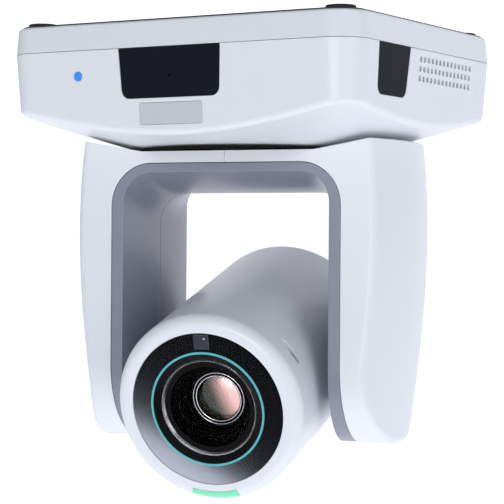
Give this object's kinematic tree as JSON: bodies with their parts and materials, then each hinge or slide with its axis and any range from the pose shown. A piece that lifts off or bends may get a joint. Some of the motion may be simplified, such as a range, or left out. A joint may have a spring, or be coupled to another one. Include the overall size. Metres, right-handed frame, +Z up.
{
  "type": "ptz camera",
  "caption": "Ceiling-hung pan-tilt-zoom camera: a flat base housing with a geared pan yoke and a barrel-shaped tilting head that carries a zoom lens.",
  "frame": {"origin": "centre of the mounting face on the pan axis, at the mouth of the tripod thread", "axes": "+Z up towards the ceiling, -Y the way the base's front faces, +X to the viewer's right seen from the front"},
  "size_m": [0.18, 0.1492, 0.212],
  "materials": {
    "shell_white": "satin moulded, off-white",
    "window_dark": "smooth infrared-clear dark plastic",
    "badge_silver": "brushed blank plate",
    "led_blue": "translucent",
    "socket_black": "moulded",
    "plate_dark": "fine black powder coat",
    "foot_rubber": "matt",
    "screw_steel": "plain machined",
    "socket_metal": "plated shell",
    "board_green": "solder mask",
    "shaft_steel": "ground",
    "bush_acetal": "smooth moulded",
    "frame_steel": "pressed sheet",
    "motor_steel": "drawn can",
    "pinion_brass": "cut",
    "gear_acetal": "smooth moulded",
    "hub_metal": "turned",
    "liner_grey": "satin moulded, blue-grey",
    "head_silver": "satin silver-grey paint",
    "tally_green": "translucent light guide",
    "bezel_grey": "satin dark grey",
    "accent_teal": "gloss teal",
    "lens_black": "matt black",
    "trim_bright": "polished",
    "lens_glass": "coated optical glass"
  },
  "bodies": {
    "base": {"upper_shell": "shell_white", "lower_shell": "shell_white", "front_window": "window_dark", "side_windows": "window_dark", "badge_plate": "badge_silver", "status_led": "led_blue", "infrared_receiver": "socket_black", "mount_plate": "plate_dark", "rubber_feet": "foot_rubber", "case_screws": "screw_steel", "socket_panel": "plate_dark", "dc_jack": "socket_black", "serial_socket": "socket_black", "hdmi_socket": "socket_metal", "usb_socket": "socket_metal", "lan_socket": "socket_metal", "video_socket": "socket_metal", "audio_socket": "socket_black", "main_board": "board_green", "board_standoffs": "shaft_steel", "pan_bush": "bush_acetal", "motor_deck": "frame_steel", "deck_screws": "screw_steel", "pan_motor": "motor_steel"},
    "pan_drive": {"pan_pinion": "pinion_brass"},
    "yoke": {"pan_gear": "gear_acetal", "pan_hub": "hub_metal", "liner_front": "liner_grey", "liner_rear": "liner_grey", "yoke_frame": "frame_steel", "yoke_screws": "screw_steel", "tilt_bushes": "bush_acetal", "tilt_motor": "motor_steel", "left_cover": "shell_white", "right_cover": "shell_white"},
    "tilt_drive": {"tilt_pinion": "pinion_brass"},
    "head": {"head_barrel": "head_silver", "rear_cap": "head_silver", "tally_light": "tally_green", "bezel": "bezel_grey", "sensor_window": "window_dark", "accent_ring": "accent_teal", "lens_hood": "lens_black", "trim_ring": "trim_bright", "front_lens": "lens_glass", "lens_barrel": "lens_black", "zoom_motor": "motor_steel", "focus_motor": "motor_steel", "sensor_board": "board_green", "head_frame": "frame_steel", "head_posts": "bush_acetal", "cap_screws": "screw_steel", "image_board": "board_green", "tilt_shafts": "shaft_steel", "tilt_collars": "liner_grey", "tilt_gear": "gear_acetal"},
    "zoom_group": {"zoom_carriage": "lens_black", "zoom_lens": "lens_glass"},
    "focus_group": {"focus_carriage": "lens_black", "focus_lens": "lens_glass"}
  },
  "joints": [
    {"name": "pan", "type": "hinge", "parent": "base", "child": "yoke", "pos_m": [0, 0, 0], "axis": [0, 0, 1], "range_deg": [-181, 159]},
    {"name": "tilt", "type": "hinge", "parent": "yoke", "child": "head", "pos_m": [0, 0, -0.15375], "axis": [0.9816, 0.1908, 0], "range_deg": [-45.9, 74.1]},
    {"name": "pan_pinion_turn", "type": "hinge", "parent": "base", "child": "pan_drive", "pos_m": [-0.043, 0, -0.04], "axis": [0, 0, 1], "range_deg": [-818, 931]},
    {"name": "tilt_pinion_turn", "type": "hinge", "parent": "yoke", "child": "tilt_drive", "pos_m": [0, 0, -0.12415], "axis": [0.9816, 0.1908, 0], "range_deg": [-318, 197]},
    {"name": "zoom", "type": "slide", "parent": "head", "child": "zoom_group", "axis": [-0.1835, 0.9441, 0.274], "range_m": [0, 0.012]},
    {"name": "focus", "type": "slide", "parent": "head", "child": "focus_group", "axis": [-0.1835, 0.9441, 0.274], "range_m": [0, 0.008]}
  ],
  "couplings": [
    {"joint": "pan_pinion_turn", "follows": "pan", "ratio": -5.1429},
    {"joint": "tilt_pinion_turn", "follows": "tilt", "ratio": -4.2857}
  ]
}
